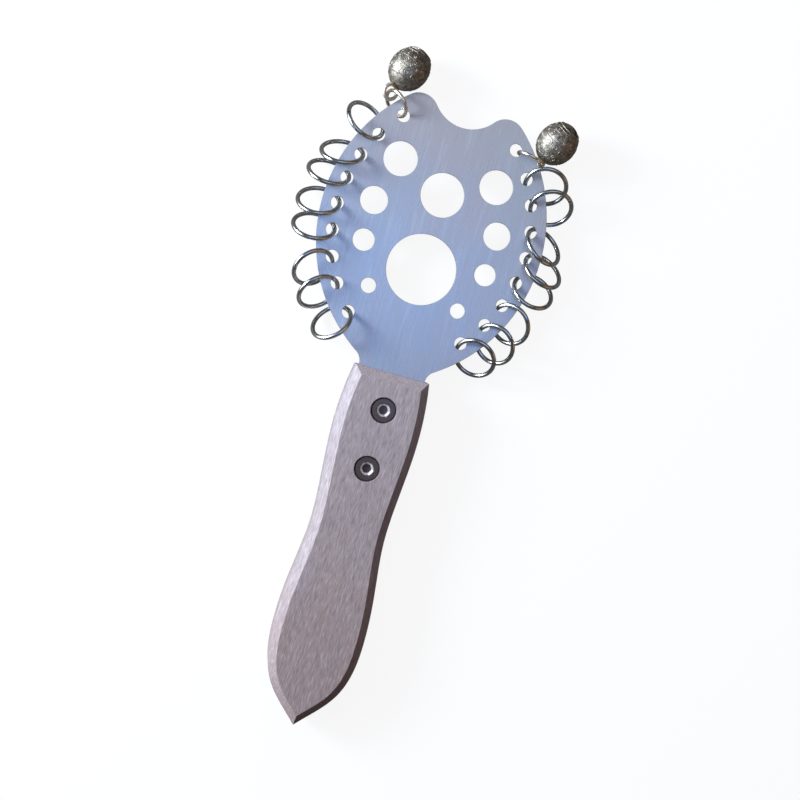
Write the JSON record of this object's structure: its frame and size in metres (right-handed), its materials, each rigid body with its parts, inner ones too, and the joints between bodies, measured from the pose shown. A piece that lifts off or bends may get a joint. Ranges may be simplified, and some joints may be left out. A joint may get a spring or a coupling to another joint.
{
  "type": "hand-held jingle paddle",
  "caption": "Hand-held jingle paddle: a flat steel sound plate with loose wire rings along both edges, bells on links at its horns, and a wooden handle screwed on.",
  "frame": {"origin": "middle of the handle's back face, which lies on the table", "axes": "+X to the paddle's right seen from the front, +Y along the paddle from handle to head, +Z out of the front"},
  "size_m": [0.1264, 0.3081, 0.0189],
  "materials": {
    "plate_steel": "lengthwise brushed",
    "beech": "sanded and oiled",
    "screw_steel": "dark oxide",
    "ring_wire": "dark nickel plate",
    "link_wire": "bright plate",
    "bell_nickel": "antique nickel plate",
    "pellet_steel": "ground"
  },
  "bodies": {
    "paddle": {"sound_plate": "plate_steel", "handle": "beech", "upper_screw": "screw_steel", "lower_screw": "screw_steel", "upper_barrel_nut": "screw_steel", "lower_barrel_nut": "screw_steel"},
    "ring_left_1": {"ring_left_1": "ring_wire"},
    "ring_left_2": {"ring_left_2": "ring_wire"},
    "ring_left_3": {"ring_left_3": "ring_wire"},
    "ring_left_4": {"ring_left_4": "ring_wire"},
    "ring_left_5": {"ring_left_5": "ring_wire"},
    "ring_left_6": {"ring_left_6": "ring_wire"},
    "ring_left_7": {"ring_left_7": "ring_wire"},
    "ring_left_8": {"ring_left_8": "ring_wire"},
    "link_left": {"link_left": "link_wire"},
    "bell_left": {"bell_left_crown": "bell_nickel", "bell_left_cup": "bell_nickel"},
    "pellet_left": {"bell_left_pellet": "pellet_steel"},
    "ring_right_1": {"ring_right_1": "ring_wire"},
    "ring_right_2": {"ring_right_2": "ring_wire"},
    "ring_right_3": {"ring_right_3": "ring_wire"},
    "ring_right_4": {"ring_right_4": "ring_wire"},
    "ring_right_5": {"ring_right_5": "ring_wire"},
    "ring_right_6": {"ring_right_6": "ring_wire"},
    "ring_right_7": {"ring_right_7": "ring_wire"},
    "ring_right_8": {"ring_right_8": "ring_wire"},
    "link_right": {"link_right": "link_wire"},
    "bell_right": {"bell_right_crown": "bell_nickel", "bell_right_cup": "bell_nickel"},
    "pellet_right": {"bell_right_pellet": "pellet_steel"}
  },
  "joints": [
    {"name": "ring_left_1_flap", "type": "hinge", "parent": "paddle", "child": "ring_left_1", "pos_m": [-0.03485, 0.18369, 0.009], "axis": [-0.8554, 0.518, 0], "range_deg": [-5, 85]},
    {"name": "ring_left_2_flap", "type": "hinge", "parent": "paddle", "child": "ring_left_2", "pos_m": [-0.0401, 0.17294, 0.009], "axis": [-0.9871, -0.1599, 0], "range_deg": [-15, 25]},
    {"name": "ring_left_3_flap", "type": "hinge", "parent": "paddle", "child": "ring_left_3", "pos_m": [-0.04332, 0.16141, 0.009], "axis": [-1, 0.007, 0], "range_deg": [-15, 40]},
    {"name": "ring_left_4_flap", "type": "hinge", "parent": "paddle", "child": "ring_left_4", "pos_m": [-0.0444, 0.1495, 0.009], "axis": [-0.9848, -0.1736, 0], "range_deg": [-10, 55]},
    {"name": "ring_left_5_flap", "type": "hinge", "parent": "paddle", "child": "ring_left_5", "pos_m": [-0.04332, 0.13759, 0.009], "axis": [-0.9956, -0.0941, 0], "range_deg": [-12, 53]},
    {"name": "ring_left_6_flap", "type": "hinge", "parent": "paddle", "child": "ring_left_6", "pos_m": [-0.0401, 0.12606, 0.009], "axis": [-0.6972, -0.7169, 0], "range_deg": [-55, 3]},
    {"name": "ring_left_7_flap", "type": "hinge", "parent": "paddle", "child": "ring_left_7", "pos_m": [-0.03485, 0.11531, 0.009], "axis": [-0.7524, -0.6587, 0], "range_deg": [-50, 2]},
    {"name": "ring_left_8_flap", "type": "hinge", "parent": "paddle", "child": "ring_left_8", "pos_m": [-0.02651, 0.10432, 0.009], "axis": [-0.6665, -0.7455, 0], "range_deg": [-2, 84]},
    {"name": "link_left_flap", "type": "hinge", "parent": "paddle", "child": "link_left", "pos_m": [-0.02651, 0.19468, 0.009], "axis": [-0.729, 0.6845, 0], "range_deg": [-55, 25]},
    {"name": "bell_left_swing", "type": "hinge", "parent": "link_left", "child": "bell_left", "pos_m": [-0.03467, 0.20357, 0.01092], "axis": [0.4689, -0.0734, 0.8802], "range_deg": [-3, 80]},
    {"name": "pellet_left_roll", "type": "hinge", "parent": "bell_left", "child": "pellet_left", "pos_m": [-0.02959, 0.21496, 0.00917], "axis": [0.4028, 0.9047, -0.1392], "range_deg": [-60, 60]},
    {"name": "ring_right_1_flap", "type": "hinge", "parent": "paddle", "child": "ring_right_1", "pos_m": [0.03485, 0.18369, 0.009], "axis": [0.9978, -0.0663, 0], "range_deg": [-1, 27]},
    {"name": "ring_right_2_flap", "type": "hinge", "parent": "paddle", "child": "ring_right_2", "pos_m": [0.0401, 0.17294, 0.009], "axis": [0.9882, 0.153, 0], "range_deg": [-2, 45]},
    {"name": "ring_right_3_flap", "type": "hinge", "parent": "paddle", "child": "ring_right_3", "pos_m": [0.04332, 0.16141, 0.009], "axis": [0.8517, -0.524, 0], "range_deg": [-23, 3]},
    {"name": "ring_right_4_flap", "type": "hinge", "parent": "paddle", "child": "ring_right_4", "pos_m": [0.0444, 0.1495, 0.009], "axis": [0.9397, -0.342, 0], "range_deg": [-37, 6]},
    {"name": "ring_right_5_flap", "type": "hinge", "parent": "paddle", "child": "ring_right_5", "pos_m": [0.04332, 0.13759, 0.009], "axis": [0.9836, -0.1805, 0], "range_deg": [-63, 2]},
    {"name": "ring_right_6_flap", "type": "hinge", "parent": "paddle", "child": "ring_right_6", "pos_m": [0.0401, 0.12606, 0.009], "axis": [0.632, -0.7749, 0], "range_deg": [-2, 48]},
    {"name": "ring_right_7_flap", "type": "hinge", "parent": "paddle", "child": "ring_right_7", "pos_m": [0.03485, 0.11531, 0.009], "axis": [0.6921, -0.7218, 0], "range_deg": [-2, 53]},
    {"name": "ring_right_8_flap", "type": "hinge", "parent": "paddle", "child": "ring_right_8", "pos_m": [0.02651, 0.10432, 0.009], "axis": [0.8729, -0.4879, 0], "range_deg": [-2, 60]},
    {"name": "link_right_flap", "type": "hinge", "parent": "paddle", "child": "link_right", "pos_m": [0.02651, 0.19468, 0.009], "axis": [0.9823, -0.1874, 0], "range_deg": [-20, 12]},
    {"name": "bell_right_swing", "type": "hinge", "parent": "link_right", "child": "bell_right", "pos_m": [0.03855, 0.19238, 0.00469], "axis": [0.5611, -0.5707, 0.5995], "range_deg": [-20, 3]},
    {"name": "pellet_right_roll", "type": "hinge", "parent": "bell_right", "child": "pellet_right", "pos_m": [0.0436, 0.20273, 0.00982], "axis": [0.4005, 0.8211, 0.4067], "range_deg": [-60, 60]}
  ]
}
